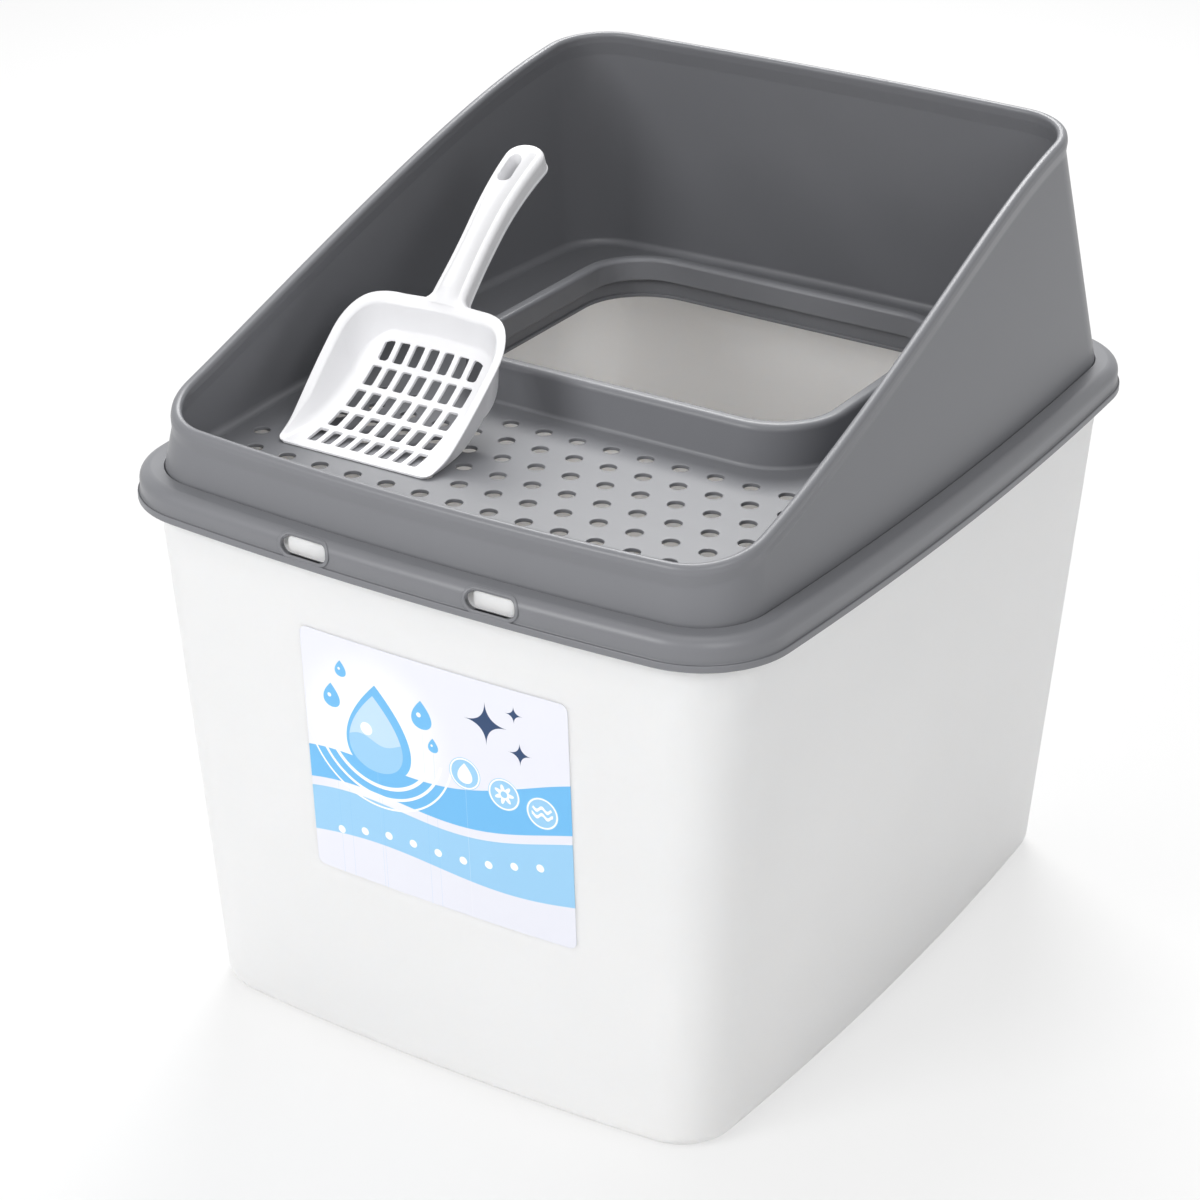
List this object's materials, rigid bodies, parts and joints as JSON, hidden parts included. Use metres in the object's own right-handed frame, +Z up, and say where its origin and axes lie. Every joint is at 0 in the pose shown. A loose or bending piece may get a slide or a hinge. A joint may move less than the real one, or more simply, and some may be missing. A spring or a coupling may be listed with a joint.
{
  "type": "top entry litter box",
  "caption": "Tall tapered litter bin with a perforated, collared top-entry lid, an open-topped sloping splash hood, a slotted scoop and a front label.",
  "frame": {"origin": "middle of the flat floor of the bin, where it stands on the ground", "axes": "+Z up; -Y towards the front, where the label is and the hood is low; +X to the viewer's right when facing the front"},
  "size_m": [0.447, 0.532, 0.5114],
  "materials": {
    "bin_plastic": "satin",
    "lid_plastic": "satin",
    "hood_plastic": "satin",
    "scoop_plastic": "satin",
    "label_paper": "satin"
  },
  "bodies": {
    "bin": {"bin": "bin_plastic", "front_label": "label_paper"},
    "lid": {"lid": "lid_plastic", "hood": "hood_plastic"},
    "scoop": {"scoop": "scoop_plastic"}
  },
  "joints": [
    {"name": "lid_lift", "type": "slide", "parent": "bin", "child": "lid", "axis": [0, 0, 1], "range_m": [0, 0.15]},
    {"name": "scoop_lift", "type": "slide", "parent": "lid", "child": "scoop", "axis": [0, 0, 1], "range_m": [0, 0.2]}
  ]
}
